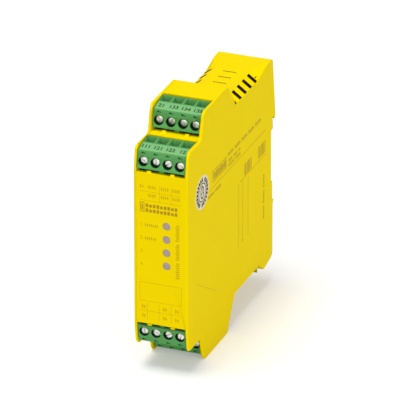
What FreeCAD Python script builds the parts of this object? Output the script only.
import FreeCAD, Part
import math
import os

# Narrow safety relay module that clips to a 35 mm mounting rail.
#
# Frame: X across the module, Y from front to back, Z up. The origin is the centre of the seat
# face that rests on the rail. Profiles are drawn in side view as (depth, height), where depth
# counts backwards from the front face. All lengths are in millimetres.
#
# The upper and the lower plugs are mirror images about a level plane through TIER_CENTRE.

Vector = FreeCAD.Vector

# ---- module ---------------------------------------------------------------------------------
POLES = 4
PITCH = 5.0              # spacing of the terminals
END_MARGIN = 1.25        # outer face of a side wall beyond the last terminal's cell
SIDE_WALL = 1.1          # side walls of the moulding, left cover included
FRONT_WALL = 1.6         # wall behind the front panel
FRONT_TO_SEAT = 93.0     # front face to the face that rests on the rail
EDGE_BREAK = 0.6         # soft edge beside the front panel
GAP = 0.3                # space between pieces that move past each other
OVERCUT = 12.0           # how far a cutting block passes the housing

# ---- terminal tiers -------------------------------------------------------------------------
TIER_CENTRE = -1.4       # middle of the terminal tiers, from the rail's centre
TIER_BASE = 32.4         # first tier's plug above the tiers' middle
TIER_RISE = 10.4         # second tier above the first
TIER_SETBACK = 16.25     # second tier behind the first
POCKET_FLOOR = 1.4       # web under the first tier
LEDGE = 1.0              # web between the tiers
ROOF = 1.2               # wall over the second tier
RIM = 0.1                # side walls above the ledge
RIDGE_REAR = 42.5        # rear end of the raised terminal section
WALL_LEAN = 1.2          # front edge of the side walls leans back by this

# ---- plug -----------------------------------------------------------------------------------
PLUG_FRONT = 0.6         # lower edge of the plug's face behind the front panel
PLUG_LEAN = 1.8          # upper edge of the face
PLUG_FACE = 8.3          # height of that edge
PLUG_SKIRT = 1.1         # height of the recess under the face
STRIP_DEPTH = 5.0        # sloping strip for the terminal numbers
STRIP_RISE = 1.2
PLUG_CROWN = 10.1        # highest line of the plug, behind the wire entries
PLUG_DEPTH = 12.6        # face to shoulder
NOSE_LENGTH = 5.9        # part of the plug that enters the header
SCREW_HEIGHT = 4.0       # screw axis above the plug's base
SCREW_HEAD_RADIUS = 1.7
SCREW_HEAD = 1.4         # thickness of the head
SCREW_RADIUS = 1.25
SCREW_SLOT = 0.6
THREAD_CLEARANCE = 0.05
HEAD_FRONT = 2.0         # head's face behind the front panel
HEAD_SEAT = 0.7          # web that the head bears on
THROAT = 1.45            # half of the passage for the screw's shank
CAGE_WIDTH = 3.5
CAGE_HEIGHT = 4.4
CAGE_WALL = 0.4
CAGE_NUT = 1.2           # threaded wall of the cage
CAGE_TRAVEL = 1.5        # three turns of a 0.5 mm thread
WIRE_GAP = 2.2           # wire space behind the contact
FUNNEL_HALF = 2.15       # mouth of the wire entry
FUNNEL_THROAT = 1.3      # wire entry where it meets the cage's space
CONTACT_WIDTH = 1.8
SOCKET_SIDE = 0.15       # contact to the side of its socket
CONTACT_SHEET = 0.5
PIN = 1.0                # square header pin
PIN_HEIGHT = 4.7         # pin axis above the plug's base

# ---- header ---------------------------------------------------------------------------------
HEADER_WALL = 0.9        # floor and roof of the header
HEADER_SIDE = 0.8
HEADER_BACK = 1.6
HEADER_GAP = 0.5         # plug's shoulder to the header's rim
PIN_REACH = 4.6          # free length of a pin inside the header

# ---- rear section and vents -----------------------------------------------------------------
REAR_HALF = 43.6         # top of the rear section above the rail's centre
SLOPE_RUN = 6.8          # depth of the slope behind the raised section
REAR_WALL = 1.6          # roof and floor of the rear section
CHAMFER_WIDTH = 3.8
CHAMFER_DROP = 2.8
CHAMFER_WALL = 1.5
CHAMFER_END = 75.8       # where the roof chamfer starts to run out
CHAMFER_RUN_OUT = 12.5
VENT_COUNT = 5
VENT_PITCH = 5.6
VENT_WIDTH = 2.3
VENT_LAST = 74.2         # depth of the rearmost vent
GROOVE_LENGTH = 5.5
GROOVE_WIDTH = 0.5
GROOVE_DEPTH = 0.3

# ---- rail seat ------------------------------------------------------------------------------
RAIL_HALF = 17.5         # half the width of the standard rail
RAIL_SHEET = 1.3         # rail thickness with room to hook in
HOOK_REACH = 3.0         # hook behind the seat face
HOOK_LIP = 0.7           # overlap of hook and latch over the rail's edge
HOOK_ROOT = 1.1          # hook above the rail's edge
FOOT_REACH = 0.5         # rear face below the rail, behind the seat face
RELIEF_TOP = 13.0        # side reliefs between the seat lands
RELIEF_BOTTOM = -10.0
RELIEF_DEPTH = 1.5
SEAT_RIB = 3.0           # half width of the rib between the reliefs
LIP_DEPTH = 83.5         # lowest point of the foot's lip
LIP_DROP = 45.0
LIP_NOTCH = 77.0

# ---- latch ----------------------------------------------------------------------------------
LATCH_HALF = 4.4         # half width of the latch
LATCH_WING = 1.0         # guide wings each side
LATCH_THICK = 3.9
LATCH_WING_THICK = 1.0
LATCH_FRONT = 4.2        # latch's front face before the seat face
LATCH_TRAVEL = 3.0
LATCH_TOP = -14.7
LATCH_FOOT = -46.4
LATCH_BEAK = 2.8         # height of the beak behind the rail
SPRING_LENGTH = 8.6
SPRING_BASE = -36.6
SPRING_FOLDS = 6
SPRING_SHEET = 0.4
SPRING_HALF = 2.4
STOP_HEIGHT = 1.5

# ---- front panel ----------------------------------------------------------------------------
LED_COUNT = 4
LED_PITCH = 5.65
LED_TOP = 9.5            # height of the highest light
LED_ACROSS = 2.5
LENS_RADIUS = 1.6
LENS_CLEARANCE = 0.05
LENS_PROUD = 0.15
LENS_LENGTH = 4.6
TAB_ACROSS = 4.8         # keying tabs under the plugs
TAB_WIDTH = 1.8
TAB_HEIGHT = 0.9
SEAL_RADIUS = 7.0
SEAL_SHEET = 0.08
SEAL_DEPTH = 15.3
SEAL_HEIGHT = 18.8

# ---- circuit boards and parts on them -------------------------------------------------------
BOARD = 1.6
BOARD_MARGIN = 1.95      # main board's outer face to the left wall
BOARD_CLEAR = 1.4        # main board's edge to the walls
BOARD_FRONT = 9.6
POST_HALF = 2.4          # posts that carry the main board
TONGUE_HALF = 1.3        # end of a post, through the board and into the side cover
TONGUE_SEAT = 0.5        # depth of the tongue in the cover
TONGUE_CLEARANCE = 0.05
RELAY_LENGTH = 50.0
RELAY_HEIGHT = 16.0
RELAY_ROOM = 4.15        # relays to the right wall
RELAY_DEPTH = 27.0
RELAY_SPACING = 18.4
RELAY_EDGE = 0.8         # broken long edges of the case
CAPACITOR_RADIUS = 4.6
CAPACITOR_HEIGHT = 12.5
CAPACITOR_DEPTH = 56.0
CAPACITOR_LEVEL = 29.0   # above and below the rail's centre
CHIP_LENGTH = 9.8
CHIP_WIDTH = 6.0
CHIP_HEIGHT = 2.0
DRIVER_DEPTH = 33.0      # chips beside the relays
DRIVER_LEVEL = 30.0
LOGIC_DEPTH = 16.5       # chips behind the display board
LOGIC_LEVEL = 8.0
DISPLAY_HIGH = 14.5
DISPLAY_LOW = -14.0
DISPLAY_MARGIN = 1.5     # display board to the right wall
LAMP_HALF = 1.4
LAMP_GAP = 0.3           # lamp behind its light guide

# ---- values that follow ---------------------------------------------------------------------
HALF_WIDTH = POLES * PITCH / 2 + END_MARGIN
INNER_HALF = HALF_WIDTH - SIDE_WALL
PLUG_HALF = INNER_HALF - GAP
POCKET_BASE = TIER_BASE - GAP
LEDGE_TOP = POCKET_BASE + TIER_RISE
SOCKET_TOP = LEDGE_TOP - LEDGE
SOCKET_HEIGHT = SOCKET_TOP - POCKET_BASE
SHOULDER = LEDGE_TOP + RIM
TOP = LEDGE_TOP + SOCKET_HEIGHT + ROOF
HEADER_FRONT = PLUG_DEPTH + HEADER_GAP
HEADER_REAR = PLUG_DEPTH + NOSE_LENGTH + GAP + HEADER_BACK
ROOF_FRONT = HEADER_FRONT + 0.2
RISER_REAR = HEADER_REAR + BOARD
HEAD_REAR = HEAD_FRONT + SCREW_HEAD
CAGE_CAVITY_FRONT = HEAD_REAR + 0.1 + HEAD_SEAT
CAGE_FRONT = CAGE_CAVITY_FRONT + GAP + CAGE_TRAVEL
CONTACT_FRONT = CAGE_FRONT + CAGE_NUT + GAP + 0.2
CAGE_REAR = CONTACT_FRONT + CONTACT_SHEET + WIRE_GAP + CAGE_WALL
CONTACT_BASE = 1.4
CAGE_BASE = CONTACT_BASE + CONTACT_SHEET + 0.2
CAVITY_TOP = CAGE_BASE + CAGE_HEIGHT + GAP
HEADER_HALF = INNER_HALF - 0.05
SHROUD_HALF = HEADER_HALF - HEADER_SIDE
SLOPE_REAR = RIDGE_REAR + SLOPE_RUN
HOOK_TOP = RAIL_HALF + HOOK_ROOT
LIP_EDGE = RAIL_HALF - HOOK_LIP
CHANNEL_HALF = LATCH_HALF + GAP
CHANNEL_FRONT = LATCH_FRONT + GAP
REAR_BLOCK = FRONT_TO_SEAT - CHANNEL_FRONT - 2.0
BOARD_ACROSS = BOARD_MARGIN - INNER_HALF
BOARD_INNER = BOARD_ACROSS + BOARD
RELAY_WIDTH = INNER_HALF - RELAY_ROOM - BOARD_INNER


def side_face(points, across):
    """Flat face from (depth, height) points, in the plane X = across."""
    corners = [Vector(across, depth - FRONT_TO_SEAT, height) for depth, height in points]
    return Part.Face(Part.makePolygon(corners + corners[:1]))


def side_prism(points, low, high):
    """Side-view outline drawn out across the module, from X = low to X = high."""
    return side_face(points, low).extrude(Vector(high - low, 0, 0))


def block(across, depth, height):
    """Box from three (low, high) pairs; depth counts from the front face."""
    size = [high - low for low, high in (across, depth, height)]
    corner = Vector(across[0], depth[0] - FRONT_TO_SEAT, height[0])
    return Part.makeBox(size[0], size[1], size[2], corner)


def rod_back(radius, across, depth, height):
    """Round rod along Y, between two depths."""
    base = Vector(across, depth[0] - FRONT_TO_SEAT, height)
    return Part.makeCylinder(radius, depth[1] - depth[0], base, Vector(0, 1, 0))


def eight_sided(radius, across, depth, height):
    """Plain bar along Y with eight flats; radius is to its corners, a flat faces each way."""
    corners = []
    for number in range(8):
        angle = math.pi * (2 * number + 1) / 8
        corners.append(Vector(across + radius * math.cos(angle), depth[0] - FRONT_TO_SEAT,
                              height + radius * math.sin(angle)))
    face = Part.Face(Part.makePolygon(corners + corners[:1]))
    return face.extrude(Vector(0, depth[1] - depth[0], 0))


def rod_across(radius, across, depth, height):
    """Round rod along X, between two X values."""
    base = Vector(across[0], depth - FRONT_TO_SEAT, height)
    return Part.makeCylinder(radius, across[1] - across[0], base, Vector(1, 0, 0))


def flip(shape):
    """The same piece below the rail's centre plane."""
    return shape.mirror(Vector(0, 0, 0), Vector(0, 0, 1))


def flip_tier(shape):
    """The same piece in the lower terminal tiers."""
    return shape.mirror(Vector(0, 0, TIER_CENTRE), Vector(0, 0, 1))


def both_tiers(steps, rear):
    """Upper and lower outline of (depth, height) steps about the tiers' middle, ending at a rear point."""
    upper = [(depth, TIER_CENTRE + height) for depth, height in steps] + [rear]
    lower = [(depth, TIER_CENTRE - height) for depth, height in steps] + [(rear[0], -rear[1])]
    return upper, lower[::-1]


def cut_all(shape, tools):
    return shape.cut(Part.makeCompound(tools))


def fuse_all(shapes):
    return shapes[0].multiFuse(shapes[1:]).removeSplitter()


def pole_places():
    """X of each pole, left to right."""
    return [(number - (POLES - 1) / 2) * PITCH for number in range(POLES)]


def save(name, shape):
    shape.exportStep(os.path.join("parts", name + ".step"))


# ---- housing --------------------------------------------------------------------------------
def front_outline():
    """Stepped front edge of the side walls, from the front face to the rear of the ridge."""
    return [
        (0, TIER_BASE + 0.8),
        (WALL_LEAN, SHOULDER - 1.4),
        (WALL_LEAN + 1.6, SHOULDER),
        (TIER_SETBACK - 1.6, SHOULDER),
        (TIER_SETBACK + 0.6, TOP - 1.6),
        (TIER_SETBACK + 2.2, TOP),
        (RIDGE_REAR, TOP),
    ]


def rear_outline():
    """Back edge from the top corner down: fixed hook, seat for the rail, and the foot's lip."""
    seat = FRONT_TO_SEAT
    foot = seat + FOOT_REACH
    return [
        (seat - 1.6, REAR_HALF),
        (seat - 0.5, REAR_HALF - 0.5),
        (seat, REAR_HALF - 1.7),
        (seat + HOOK_REACH, HOOK_TOP),
        (seat + HOOK_REACH, LIP_EDGE + 0.4),
        (seat + HOOK_REACH - 0.4, LIP_EDGE),
        (seat + RAIL_SHEET, LIP_EDGE),
        (seat + RAIL_SHEET, RAIL_HALF + 0.4),
        (seat - 0.2, RAIL_HALF + 0.4),
        (seat - 0.2, LIP_EDGE - 0.3),
        (seat, LIP_EDGE - 0.3),
        (seat, -RAIL_HALF - 0.5),
        (seat + 1.4, -RAIL_HALF - 0.9),
        (seat + 1.4, -RAIL_HALF - 1.7),
        (foot, -RAIL_HALF - 2.7),
        (foot, -REAR_HALF + 1.4),
        (foot - 2.0, -REAR_HALF + 0.2),
        (LIP_DEPTH, -LIP_DROP),
        (LIP_NOTCH, -REAR_HALF + 3.4),
        (LIP_NOTCH - 1.5, -REAR_HALF),
    ]


def housing_outline():
    upper, lower = both_tiers(front_outline(), (SLOPE_REAR, REAR_HALF))
    return upper + rear_outline() + lower


def chamfer_section(extra):
    """Corner of the rear section's roof that the chamfer takes off, seen from the front."""
    slope = CHAMFER_DROP / CHAMFER_WIDTH
    return [
        (HALF_WIDTH - CHAMFER_WIDTH - extra, REAR_HALF + extra * slope),
        (HALF_WIDTH + extra, REAR_HALF - CHAMFER_DROP - extra * slope),
        (HALF_WIDTH + extra, REAR_HALF + extra),
    ]


def roof_chamfer(run_out, ridge):
    """Cutter for the chamfer on the right edge of the roof behind a ridge, with an optional run-out."""
    start = RIDGE_REAR - FRONT_TO_SEAT
    stop = CHAMFER_END - FRONT_TO_SEAT
    corners = [Vector(across, start, height) for across, height in chamfer_section(1.0)]
    face = Part.Face(Part.makePolygon(corners + corners[:1]))
    cutter = face.extrude(Vector(0, stop - start, 0))
    # The slope behind the raised section runs on down to the chamfer's lower edge.
    steepness = SLOPE_RUN / (ridge - REAR_HALF)
    low = REAR_HALF - CHAMFER_DROP - 2.0
    in_front = side_prism([(RIDGE_REAR - 9, ridge + 2), (RIDGE_REAR - 2 * steepness, ridge + 2),
                           (RIDGE_REAR + (ridge - low) * steepness, low), (RIDGE_REAR - 9, low)],
                          -HALF_WIDTH - 5, HALF_WIDTH + 5)
    cutter = cutter.cut(in_front)
    if not run_out:
        return cutter
    inner, outer, corner = [Vector(across, stop, height) for across, height in chamfer_section(0.6)]
    tip = Vector(HALF_WIDTH + 0.3, stop + CHAMFER_RUN_OUT, REAR_HALF + 0.3)
    faces = [Part.Face(Part.makePolygon([a, b, c, a])) for a, b, c in (
        (inner, outer, corner), (inner, tip, outer), (outer, tip, corner), (corner, tip, inner))]
    return cutter.fuse(Part.makeSolid(Part.makeShell(faces)))


def vent_slots(first):
    """Slots through the right chamfer, square to it, from the rearmost one forwards."""
    length = math.hypot(CHAMFER_WIDTH, CHAMFER_DROP)
    tilt = math.degrees(math.atan2(CHAMFER_DROP, CHAMFER_WIDTH))
    tools = []
    for number in range(first, VENT_COUNT):
        depth = VENT_LAST - number * VENT_PITCH
        tool = Part.makeBox(length - 0.3, VENT_WIDTH, 8.0, Vector(0.15, -VENT_WIDTH / 2, -4.5))
        tool.rotate(Vector(0, 0, 0), Vector(0, 1, 0), tilt)
        tool.translate(Vector(HALF_WIDTH - CHAMFER_WIDTH, depth - FRONT_TO_SEAT, REAR_HALF))
        tools.append(tool)
    return tools


def roof_grooves():
    tools = []
    for number in range(VENT_COUNT):
        depth = VENT_LAST + (1 - number) * VENT_PITCH
        tools.append(block((-GROOVE_LENGTH / 2, GROOVE_LENGTH / 2),
                           (depth - GROOVE_WIDTH / 2, depth + GROOVE_WIDTH / 2),
                           (REAR_HALF - GROOVE_DEPTH, REAR_HALF + 1)))
    return tools


def seat_reliefs():
    """Shallow steps each side of the seat's middle rib."""
    seat = FRONT_TO_SEAT
    section = [(seat - RELIEF_DEPTH, RELIEF_BOTTOM + 0.8), (seat - RELIEF_DEPTH, RELIEF_TOP - 0.5),
               (seat + 0.2, RELIEF_TOP), (seat + 0.2, RELIEF_BOTTOM)]
    return [side_prism(section, SEAT_RIB, HALF_WIDTH + 1),
            side_prism(section, -HALF_WIDTH - 1, -SEAT_RIB)]


def soften_front(shape):
    """Break the stepped front edge of both side walls, up to the ridge."""
    edges = []
    for edge in shape.Edges:
        ends = [vertex.Point for vertex in edge.Vertexes]
        on_side = all(abs(abs(point.x) - HALF_WIDTH) < 0.01 for point in ends)
        at_front = all(point.y < TIER_SETBACK + 2.3 - FRONT_TO_SEAT for point in ends)
        if on_side and at_front:
            edges.append(edge)
    return shape.makeChamfer(EDGE_BREAK, edges)


def closed_block():
    """Outside of the whole housing, before it is split into body and side cover."""
    shape = soften_front(side_prism(housing_outline(), -HALF_WIDTH, HALF_WIDTH))
    upper = [roof_chamfer(True, TOP + TIER_CENTRE)] + vent_slots(0)
    lower = [flip(tool) for tool in [roof_chamfer(False, TOP - TIER_CENTRE)] + vent_slots(1)]
    right = upper + lower
    left = [tool.mirror(Vector(0, 0, 0), Vector(1, 0, 0)) for tool in right]
    tools = right + left + roof_grooves() + seat_reliefs()
    for tool in tools:
        shape = shape.cut(tool)
    return shape


def pocket(tier):
    """Space that a plug and its header take between the side walls."""
    front = tier * TIER_SETBACK
    base = POCKET_BASE + tier * TIER_RISE
    top = base + SOCKET_HEIGHT
    opening = front - 5.0
    points = [(opening, base), (front + HEADER_REAR, base), (front + HEADER_REAR, top),
              (front + ROOF_FRONT, top), (front + ROOF_FRONT, TOP + 5), (opening, TOP + 5)]
    shape = side_prism(points, -INNER_HALF - 1, INNER_HALF)
    shape.translate(Vector(0, 0, TIER_CENTRE))
    return shape


def chamber_outline():
    """Inside of the housing, open behind each header."""
    floor = POCKET_BASE - POCKET_FLOOR
    second = TIER_SETBACK + HEADER_REAR
    roof = REAR_HALF - REAR_WALL
    seat = FRONT_TO_SEAT
    steps = [
        (FRONT_WALL, floor),
        (HEADER_REAR, floor),
        (HEADER_REAR, SOCKET_TOP),
        (second, SOCKET_TOP),
        (second, TOP - ROOF),
        (RIDGE_REAR - 1.0, TOP - ROOF),
    ]
    rear = [
        (seat - 2.0, roof),
        (seat - 2.0, HOOK_TOP + 1.5),
        (seat - RELIEF_DEPTH - FRONT_WALL, HOOK_TOP),
        (seat - RELIEF_DEPTH - FRONT_WALL, RELIEF_BOTTOM + 0.8),
        (REAR_BLOCK, RELIEF_BOTTOM - 1.0),
        (REAR_BLOCK, -REAR_HALF + 5.0),
        (LIP_NOTCH - 3.2, -REAR_HALF + 5.0),
        (LIP_NOTCH - 5.2, -roof),
    ]
    upper, lower = both_tiers(steps, (SLOPE_REAR - 1.0, roof))
    return upper + rear + lower


def chamber():
    """Inside space, with its long corners cut back under the roof and floor chamfers."""
    shape = side_prism(chamber_outline(), -INNER_HALF - 1, INNER_HALF)
    for side in (1, -1):
        wedge = roof_chamfer(False, TOP + side * TIER_CENTRE)
        wedge.translate(Vector(-CHAMFER_WALL * 0.6, 0, -CHAMFER_WALL * 0.8))
        if side < 0:
            wedge = flip(wedge)
        shape = shape.cut(wedge).cut(wedge.mirror(Vector(0, 0, 0), Vector(1, 0, 0)))
    return shape


def latch_channel():
    """T-shaped guide for the latch, open at the back and at the foot."""
    seat = FRONT_TO_SEAT
    wing = CHANNEL_HALF + LATCH_WING
    wing_rear = seat - LATCH_FRONT + LATCH_WING_THICK + GAP
    top = LATCH_TOP + GAP
    narrow = block((-CHANNEL_HALF, CHANNEL_HALF), (seat - CHANNEL_FRONT, seat + 6), (-LIP_DROP - 5, top))
    wide = block((-wing, wing), (seat - CHANNEL_FRONT, wing_rear), (-LIP_DROP - 5, top))
    return narrow.fuse(wide)


def spring_stop():
    """Peg in the channel that the latch's spring pushes against."""
    seat = FRONT_TO_SEAT
    return block((-SPRING_HALF, SPRING_HALF), (seat - CHANNEL_FRONT - 0.2, seat - GAP - 0.4),
                 (SPRING_BASE - STOP_HEIGHT, SPRING_BASE))


def post_places():
    """(depth, height) of the posts that carry the main board and locate the side cover."""
    return [(17.0, 24.0), (17.0, -24.0), (82.0, 32.0), (80.0, -31.0)]


def post_block(half, across, depth, height):
    """Square bar across the module, centred on a post."""
    return block(across, (depth - half, depth + half), (height - half, height + half))


def board_posts():
    shapes = []
    for depth, height in post_places():
        shapes.append(post_block(POST_HALF, (BOARD_INNER, INNER_HALF + 0.2), depth, height))
        shapes.append(post_block(TONGUE_HALF, (-INNER_HALF - TONGUE_SEAT, BOARD_INNER + 0.2), depth, height))
    return shapes


def key_tabs():
    """Upright tabs at the lower edge of each pocket."""
    tabs = []
    for tier in (0, 1):
        front = tier * TIER_SETBACK
        base = TIER_CENTRE + POCKET_BASE + tier * TIER_RISE
        for across in (-TAB_ACROSS, TAB_ACROSS):
            tabs.append(block((across - TAB_WIDTH / 2, across + TAB_WIDTH / 2),
                              (front + 0.1 - tier * 0.6, front + 0.9 - tier * 0.6),
                              (base - 0.5, base + TAB_HEIGHT)))
    return tabs


def housing_body(whole):
    """Body with the right wall, front panel, roof, floor, hook and foot."""
    slab = block((-INNER_HALF, HALF_WIDTH + OVERCUT), (-OVERCUT, FRONT_TO_SEAT + OVERCUT),
                 (-TOP - OVERCUT, TOP + OVERCUT))
    shape = whole.common(slab)
    upper = [pocket(0), pocket(1)]
    tools = upper + [flip_tier(tool) for tool in upper]
    tools.append(chamber())
    tools.append(latch_channel())
    for number in range(LED_COUNT):
        tools.append(rod_back(LENS_RADIUS + LENS_CLEARANCE, LED_ACROSS, (-2, FRONT_WALL + 2),
                              LED_TOP - number * LED_PITCH))
    for tool in tools:
        shape = shape.cut(tool)
    tabs = key_tabs()
    return fuse_all([shape, spring_stop()] + board_posts() + tabs + [flip_tier(tab) for tab in tabs])


def side_cover(whole):
    """Left wall with a pocket for the tongue of each post."""
    slab = block((-HALF_WIDTH - OVERCUT, -INNER_HALF), (-OVERCUT, FRONT_TO_SEAT + OVERCUT),
                 (-TOP - OVERCUT, TOP + OVERCUT))
    shape = whole.common(slab)
    half = TONGUE_HALF + TONGUE_CLEARANCE
    for depth, height in post_places():
        shape = shape.cut(post_block(half, (-INNER_HALF - TONGUE_SEAT - TONGUE_CLEARANCE, 0), depth, height))
    return shape


# ---- latch ----------------------------------------------------------------------------------
def rail_latch():
    """Sliding foot: beak behind the rail, guide wings, spring window and screwdriver slot."""
    seat = FRONT_TO_SEAT
    front = seat - LATCH_FRONT
    rear = front + LATCH_THICK
    beak_rear = seat + HOOK_REACH
    beak = [
        (front, LATCH_TOP - 0.6),
        (front + 0.6, LATCH_TOP),
        (rear, LATCH_TOP),
        (rear, -LIP_EDGE - 0.3),
        (seat + RAIL_SHEET, -LIP_EDGE - 0.3),
        (seat + RAIL_SHEET, -LIP_EDGE),
        (beak_rear - 1.2, -LIP_EDGE),
        (beak_rear, -LIP_EDGE - 1.2),
        (beak_rear, -LIP_EDGE - LATCH_BEAK + 0.8),
        (rear, -LIP_EDGE - LATCH_BEAK - 1.0),
        (rear, LATCH_FOOT + 1.0),
        (rear - 1.0, LATCH_FOOT),
        (front, LATCH_FOOT),
    ]
    shape = side_prism(beak, -LATCH_HALF, LATCH_HALF)
    wings = block((-LATCH_HALF - LATCH_WING, LATCH_HALF + LATCH_WING), (front, front + LATCH_WING_THICK),
                  (-REAR_HALF + 2.0, LATCH_TOP - 1.0))
    window = block((-SPRING_HALF - GAP, SPRING_HALF + GAP), (front - 1, rear + 1),
                   (SPRING_BASE - STOP_HEIGHT - GAP - 0.2, SPRING_BASE + SPRING_LENGTH))
    slot = block((-2.2, 2.2), (front + 1.4, front + 2.4), (LATCH_FOOT - 1, LATCH_FOOT + 4.0))
    return shape.fuse(wings).cut(window).cut(slot).removeSplitter()


def latch_spring():
    """Folded leaf spring between the stop and the top of the latch's window."""
    front = FRONT_TO_SEAT - LATCH_FRONT + 0.5
    rear = front + LATCH_THICK - 1.4
    across = (-SPRING_HALF + 0.2, SPRING_HALF - 0.2)
    step = (SPRING_LENGTH - 2 * GAP - SPRING_SHEET) / SPRING_FOLDS
    pieces = []
    for number in range(SPRING_FOLDS + 1):
        low = SPRING_BASE + GAP + number * step
        pieces.append(block(across, (front, rear), (low, low + SPRING_SHEET)))
        if number < SPRING_FOLDS:
            turn = front if number % 2 else rear - SPRING_SHEET
            pieces.append(block(across, (turn, turn + SPRING_SHEET), (low, low + step + SPRING_SHEET)))
    return fuse_all(pieces)


# ---- terminal plugs -------------------------------------------------------------------------
def plug_section():
    """Side view of a plug from its lower front edge, with the nose that enters the header."""
    nose_low = HEADER_WALL
    nose_high = SOCKET_HEIGHT - 2 * GAP - HEADER_WALL
    body = [
        (PLUG_FRONT + 0.9, 0),
        (PLUG_FRONT + 0.9, PLUG_SKIRT),
        (PLUG_FRONT, PLUG_SKIRT),
        (PLUG_LEAN, PLUG_FACE),
        (PLUG_LEAN + STRIP_DEPTH, PLUG_FACE + STRIP_RISE),
        (PLUG_DEPTH - 0.8, PLUG_CROWN),
        (PLUG_DEPTH, PLUG_CROWN - 0.6),
        (PLUG_DEPTH, 0),
    ]
    nose = [(PLUG_DEPTH - 1, nose_low), (PLUG_DEPTH - 1, nose_high),
            (PLUG_DEPTH + NOSE_LENGTH, nose_high), (PLUG_DEPTH + NOSE_LENGTH, nose_low)]
    return body, nose


def funnel(across, depth):
    """Tapered wire entry, narrow above the cage's space and wide at the crown."""
    low = CAVITY_TOP - 0.05
    half = FUNNEL_HALF
    throat = FUNNEL_THROAT
    shape = Part.makeWedge(-throat, low, -throat, -half, -half, throat, PLUG_CROWN, throat, half, half)
    shape.rotate(Vector(0, 0, 0), Vector(1, 0, 0), 90)
    shape.translate(Vector(across, depth - FRONT_TO_SEAT, 0))
    return shape


def pole_cutters(across):
    """Screw hole, cage space, wire entry and pin socket of one pole."""
    wire_middle = CONTACT_FRONT + CONTACT_SHEET + WIRE_GAP / 2
    hole = rod_back(SCREW_HEAD_RADIUS + 0.25, across, (-1, HEAD_REAR + 0.1), SCREW_HEIGHT)
    throat = block((across - THROAT, across + THROAT), (HEAD_REAR, CAGE_CAVITY_FRONT + 0.1),
                   (SCREW_HEIGHT - THROAT, SCREW_HEIGHT + THROAT))
    half = CAGE_WIDTH / 2 + 0.2
    cage_space = block((across - half, across + half), (CAGE_CAVITY_FRONT, CAGE_REAR + GAP),
                       (CONTACT_BASE, CAVITY_TOP))
    half = CONTACT_WIDTH / 2 + SOCKET_SIDE
    socket = block((across - half, across + half), (CAGE_REAR, PLUG_DEPTH + NOSE_LENGTH + 1),
                   (CONTACT_BASE, PIN_HEIGHT + PIN / 2 + 0.6))
    return [hole, throat, cage_space, funnel(across, wire_middle), socket]


def plug():
    """Green plug body at the place of depth 0 and height 0."""
    body, nose = plug_section()
    shape = side_prism(body, -PLUG_HALF, PLUG_HALF)
    shape = shape.fuse(side_prism(nose, -SHROUD_HALF + GAP, SHROUD_HALF - GAP))
    for across in pole_places():
        for tool in pole_cutters(across):
            shape = shape.cut(tool)
    # Keyways let the plug pass over the housing's tabs.
    half = TAB_WIDTH / 2 + GAP
    for across in (-TAB_ACROSS, TAB_ACROSS):
        shape = shape.cut(block((across - half, across + half), (-1, PLUG_DEPTH + 0.1),
                                (-1, TAB_HEIGHT)))
    return shape.removeSplitter()


def screw(across, turn):
    """Slotted clamp screw; its axis runs from front to back."""
    head = rod_back(SCREW_HEAD_RADIUS, across, (HEAD_FRONT, HEAD_REAR), SCREW_HEIGHT)
    shank = eight_sided(SCREW_RADIUS, across, (HEAD_REAR - 0.2, CONTACT_FRONT - 0.1), SCREW_HEIGHT)
    slot = block((across - SCREW_HEAD_RADIUS - 1, across + SCREW_HEAD_RADIUS + 1),
                 (HEAD_FRONT - 1, HEAD_FRONT + 0.7),
                 (SCREW_HEIGHT - SCREW_SLOT / 2, SCREW_HEIGHT + SCREW_SLOT / 2))
    slot.rotate(Vector(across, 0, SCREW_HEIGHT), Vector(0, 1, 0), turn)
    return head.fuse(shank).cut(slot).removeSplitter()


def cage(across):
    """Clamp cage: a frame round the contact, with a threaded front wall."""
    half = CAGE_WIDTH / 2
    shape = block((across - half, across + half), (CAGE_FRONT, CAGE_REAR),
                  (CAGE_BASE, CAGE_BASE + CAGE_HEIGHT))
    inside = block((across - half + CAGE_WALL, across + half - CAGE_WALL),
                   (CAGE_FRONT + CAGE_NUT, CAGE_REAR - CAGE_WALL), (CAGE_BASE - 1, CAVITY_TOP + 1))
    # The flats of the hole clear the corners of the shank as it turns.
    corner = (SCREW_RADIUS + THREAD_CLEARANCE) / math.cos(math.pi / 8)
    thread = eight_sided(corner, across, (CAGE_FRONT - 1, CAGE_FRONT + CAGE_NUT + 0.1), SCREW_HEIGHT)
    return shape.cut(inside).cut(thread)


def contact(across):
    """Contact strip: tongue inside the cage, foot on the plug's floor, leaf beside the pin."""
    back = CONTACT_FRONT + CONTACT_SHEET
    sheet = CONTACT_SHEET
    leaf_top = PIN_HEIGHT - PIN / 2 - 0.25
    end = PLUG_DEPTH + NOSE_LENGTH - 0.6
    points = [
        (CONTACT_FRONT, CONTACT_BASE),
        (CONTACT_FRONT, CAVITY_TOP - 0.2),
        (back, CAVITY_TOP - 0.2),
        (back, CONTACT_BASE + sheet),
        (CAGE_REAR + 1.2, CONTACT_BASE + sheet),
        (end, leaf_top),
        (end, leaf_top - sheet),
        (CAGE_REAR + 1.6, CONTACT_BASE),
    ]
    return side_prism(points, across - CONTACT_WIDTH / 2, across + CONTACT_WIDTH / 2)


def header():
    """Header that a plug pushes into, at the place of depth 0 and height 0."""
    shell = block((-HEADER_HALF, HEADER_HALF), (HEADER_FRONT, HEADER_REAR), (-GAP, SOCKET_HEIGHT - GAP))
    room = block((-SHROUD_HALF, SHROUD_HALF), (HEADER_FRONT - 1, HEADER_REAR - HEADER_BACK),
                 (HEADER_WALL - GAP, SOCKET_HEIGHT - GAP - HEADER_WALL))
    shape = shell.cut(room)
    for across in pole_places():
        shape = shape.cut(pin_block(across))
    return shape


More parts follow.
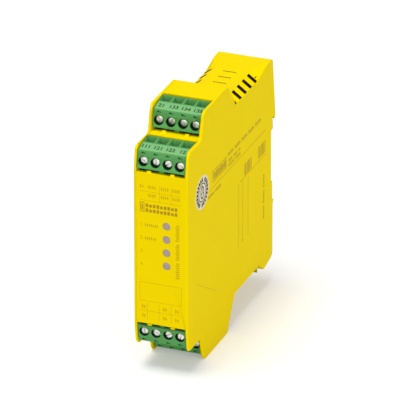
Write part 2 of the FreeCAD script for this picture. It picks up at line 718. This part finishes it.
def pin_block(across):
    return block((across - PIN / 2, across + PIN / 2),
                 (HEADER_REAR - HEADER_BACK - PIN_REACH, HEADER_REAR),
                 (PIN_HEIGHT - PIN / 2, PIN_HEIGHT + PIN / 2))


def riser_board():
    """Small upright board behind a header, which the pins are soldered to."""
    return block((-INNER_HALF + 0.4, INNER_HALF - 0.4), (HEADER_REAR, RISER_REAR), (0.2, SOCKET_HEIGHT - 0.8))


def place_tier(shape, side, tier):
    """Move a piece from depth 0, height 0 to its tier, above or below the rail."""
    moved = shape.copy()
    moved.translate(Vector(0, tier * TIER_SETBACK, TIER_CENTRE + TIER_BASE + tier * TIER_RISE))
    return moved if side > 0 else flip_tier(moved)


def screw_turn(index):
    """Slots point different ways, as they do after assembly."""
    return (37 + 53 * index) % 180


# ---- front panel parts ----------------------------------------------------------------------
def led_heights():
    return [LED_TOP - number * LED_PITCH for number in range(LED_COUNT)]


def led_windows():
    """Four round light guides that end just proud of the front panel."""
    guides = []
    for height in led_heights():
        guides.append(rod_back(LENS_RADIUS, LED_ACROSS, (-LENS_PROUD, LENS_LENGTH), height))
    return Part.makeCompound(guides)


def status_leds():
    lamps = []
    for height in led_heights():
        lamps.append(block((LED_ACROSS - LAMP_HALF, LED_ACROSS + LAMP_HALF),
                           (LENS_LENGTH + LAMP_GAP, BOARD_FRONT - BOARD),
                           (height - LAMP_HALF, height + LAMP_HALF)))
    return Part.makeCompound(lamps)


def display_board():
    return block((BOARD_ACROSS, INNER_HALF - DISPLAY_MARGIN), (BOARD_FRONT - BOARD, BOARD_FRONT),
                 (DISPLAY_LOW, DISPLAY_HIGH))


def seal():
    return rod_across(SEAL_RADIUS, (HALF_WIDTH, HALF_WIDTH + SEAL_SHEET), SEAL_DEPTH, SEAL_HEIGHT)


# ---- inside ---------------------------------------------------------------------------------
def main_board():
    """Board beside the left wall, stepped like the housing."""
    floor = POCKET_BASE - POCKET_FLOOR - BOARD_CLEAR
    first = RISER_REAR
    second = TIER_SETBACK + RISER_REAR
    roof = REAR_HALF - REAR_WALL - BOARD_CLEAR
    steps = [(BOARD_FRONT, floor), (first, floor), (first, SOCKET_TOP - BOARD_CLEAR),
             (second, SOCKET_TOP - BOARD_CLEAR)]
    rear = [(REAR_BLOCK - BOARD_CLEAR, roof), (REAR_BLOCK - BOARD_CLEAR, -REAR_HALF + 5.0 + BOARD_CLEAR),
            (LIP_NOTCH - 3.6, -REAR_HALF + 5.0 + BOARD_CLEAR), (LIP_NOTCH - 6.0, -roof)]
    upper, lower = both_tiers(steps, (SLOPE_REAR - 1.6, roof))
    shape = side_prism(upper + rear + lower, BOARD_ACROSS, BOARD_INNER)
    for depth, height in post_places():
        shape = shape.cut(post_block(TONGUE_HALF + TONGUE_CLEARANCE, (BOARD_ACROSS - 1, BOARD_INNER + 1),
                                     depth, height))
    return shape


def relay(side):
    """Sealed relay lying on the main board."""
    middle = side * RELAY_SPACING / 2
    depth = (RELAY_DEPTH, RELAY_DEPTH + RELAY_LENGTH)
    case = block((BOARD_INNER, BOARD_INNER + RELAY_WIDTH), depth,
                 (middle - RELAY_HEIGHT / 2, middle + RELAY_HEIGHT / 2))
    long_edges = [edge for edge in case.Edges if edge.Length > RELAY_LENGTH - 0.1
                  and edge.CenterOfMass.x > BOARD_INNER + 1]
    return case.makeChamfer(RELAY_EDGE, long_edges)


def capacitors():
    can = rod_across(CAPACITOR_RADIUS, (BOARD_INNER, BOARD_INNER + CAPACITOR_HEIGHT), CAPACITOR_DEPTH,
                     CAPACITOR_LEVEL)
    return Part.makeCompound([can, flip(can)])


def chips():
    packages = []
    for depth, level in ((DRIVER_DEPTH, DRIVER_LEVEL), (LOGIC_DEPTH, LOGIC_LEVEL)):
        packages.append(block((BOARD_INNER, BOARD_INNER + CHIP_HEIGHT),
                              (depth - CHIP_WIDTH / 2, depth + CHIP_WIDTH / 2),
                              (level - CHIP_LENGTH / 2, level + CHIP_LENGTH / 2)))
    return Part.makeCompound(packages + [flip(package) for package in packages])


# ---- the set of pieces ----------------------------------------------------------------------
TIERS = [("upper_front", 1, 0), ("upper_rear", 1, 1), ("lower_front", -1, 0), ("lower_rear", -1, 1)]


def build():
    os.makedirs("parts", exist_ok=True)
    whole = closed_block()
    save("housing_body", housing_body(whole))
    save("side_cover", side_cover(whole))
    save("rail_latch", rail_latch())
    save("latch_spring", latch_spring())
    plain_plug = plug()
    plain_header = header()
    pins = []
    risers = []
    screw_number = 0
    for name, side, tier in TIERS:
        save("plug_" + name, place_tier(plain_plug, side, tier))
        save("header_" + name, place_tier(plain_header, side, tier))
        risers.append(place_tier(riser_board(), side, tier))
        contacts = []
        for number, across in enumerate(pole_places(), 1):
            tag = name + "_" + str(number)
            save("screw_" + tag, place_tier(screw(across, screw_turn(screw_number)), side, tier))
            save("cage_" + tag, place_tier(cage(across), side, tier))
            contacts.append(place_tier(contact(across), side, tier))
            pins.append(place_tier(pin_block(across), side, tier))
            screw_number += 1
        save("contacts_" + name, Part.makeCompound(contacts))
    save("header_pins", Part.makeCompound(pins))
    save("riser_boards", Part.makeCompound(risers))
    save("main_board", main_board())
    save("display_board", display_board())
    save("relay_upper", relay(1))
    save("relay_lower", relay(-1))
    save("capacitors", capacitors())
    save("chips", chips())
    save("status_leds", status_leds())
    save("led_windows", led_windows())
    save("seal", seal())


build()
